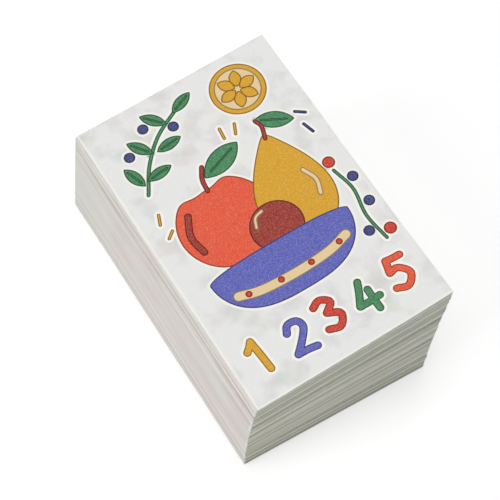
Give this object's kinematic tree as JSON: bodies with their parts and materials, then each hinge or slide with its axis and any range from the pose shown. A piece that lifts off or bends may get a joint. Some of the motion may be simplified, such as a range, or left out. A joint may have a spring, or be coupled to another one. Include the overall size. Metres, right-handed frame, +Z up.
{
  "type": "tear-off day calendar",
  "caption": "Thick block of loose paper day leaves, glued along one long side over a grey backing board, with a printed cover leaf; leaves turn about the glue and tear off.",
  "frame": {"origin": "middle of the backing board's underside", "axes": "+X from the glued long side to the free one, +Y up the page to its head, +Z up through the leaves"},
  "size_m": [0.0657, 0.1004, 0.0493],
  "materials": {
    "paper": "uncoated white paper",
    "cover": "uncoated white paper, printed",
    "board": "grey board",
    "glue": "dried cream padding glue"
  },
  "bodies": {
    "board": {"backing_board": "board", "glue_backing": "glue"},
    "december": {"december_leaves": "paper", "glue_december": "glue"},
    "november": {"november_leaves": "paper", "glue_november": "glue"},
    "october": {"october_leaves": "paper", "glue_october": "glue"},
    "september": {"september_leaves": "paper", "glue_september": "glue"},
    "august": {"august_leaves": "paper", "glue_august": "glue"},
    "july": {"july_leaves": "paper", "glue_july": "glue"},
    "june": {"june_leaves": "paper", "glue_june": "glue"},
    "may": {"may_leaves": "paper", "glue_may": "glue"},
    "april": {"april_leaves": "paper", "glue_april": "glue"},
    "march": {"march_leaves": "paper", "glue_march": "glue"},
    "february": {"february_leaves": "paper", "glue_february": "glue"},
    "january": {"january_leaves": "paper", "glue_january": "glue"},
    "first_day_glue": {"glue_first_day": "glue"},
    "first_day_leaf": {"first_day_leaf": "paper"},
    "cover_glue": {"glue_cover": "glue"},
    "cover_leaf": {"cover_leaf": "cover"}
  },
  "joints": [
    {"name": "december_turn", "type": "hinge", "parent": "board", "child": "december", "pos_m": [-0.03251, 0, 0.001], "axis": [0, -1, 0], "range_deg": [0, 5]},
    {"name": "november_turn", "type": "hinge", "parent": "december", "child": "november", "pos_m": [-0.03283, 0, 0.00422], "axis": [0, -1, 0], "range_deg": [0, 5]},
    {"name": "october_turn", "type": "hinge", "parent": "november", "child": "october", "pos_m": [-0.0331, 0, 0.00733], "axis": [0, -1, 0], "range_deg": [0, 5]},
    {"name": "september_turn", "type": "hinge", "parent": "october", "child": "september", "pos_m": [-0.03333, 0, 0.01055], "axis": [0, -1, 0], "range_deg": [0, 5]},
    {"name": "august_turn", "type": "hinge", "parent": "september", "child": "august", "pos_m": [-0.0335, 0, 0.01367], "axis": [0, -1, 0], "range_deg": [0, 5]},
    {"name": "july_turn", "type": "hinge", "parent": "august", "child": "july", "pos_m": [-0.03363, 0, 0.01689], "axis": [0, -1, 0], "range_deg": [0, 5]},
    {"name": "june_turn", "type": "hinge", "parent": "july", "child": "june", "pos_m": [-0.03371, 0, 0.0201], "axis": [0, -1, 0], "range_deg": [0, 5]},
    {"name": "may_turn", "type": "hinge", "parent": "june", "child": "may", "pos_m": [-0.03374, 0, 0.02322], "axis": [0, -1, 0], "range_deg": [0, 5]},
    {"name": "april_turn", "type": "hinge", "parent": "may", "child": "april", "pos_m": [-0.03373, 0, 0.02644], "axis": [0, -1, 0], "range_deg": [0, 5]},
    {"name": "march_turn", "type": "hinge", "parent": "april", "child": "march", "pos_m": [-0.03367, 0, 0.02955], "axis": [0, -1, 0], "range_deg": [0, 5]},
    {"name": "february_turn", "type": "hinge", "parent": "march", "child": "february", "pos_m": [-0.03356, 0, 0.03277], "axis": [0, -1, 0], "range_deg": [0, 5]},
    {"name": "january_turn", "type": "hinge", "parent": "february", "child": "january", "pos_m": [-0.03341, 0, 0.03568], "axis": [0, -1, 0], "range_deg": [0, 5]},
    {"name": "first_day_turn", "type": "hinge", "parent": "january", "child": "first_day_glue", "pos_m": [-0.03321, 0, 0.03879], "axis": [0, -1, 0], "range_deg": [0, 25]},
    {"name": "first_day_tear", "type": "hinge", "parent": "first_day_glue", "child": "first_day_leaf", "pos_m": [-0.03281, 0.05003, 0.03879], "axis": [-0.1582, 0, 0.9874], "range_deg": [0, 40]},
    {"name": "cover_turn", "type": "hinge", "parent": "first_day_glue", "child": "cover_glue", "pos_m": [-0.03321, 0, 0.0389], "axis": [0, -1, 0], "range_deg": [0, 85]},
    {"name": "cover_tear", "type": "hinge", "parent": "cover_glue", "child": "cover_leaf", "pos_m": [-0.03281, 0.05007, 0.0389], "axis": [-0.1603, 0, 0.9871], "range_deg": [0, 40]}
  ]
}
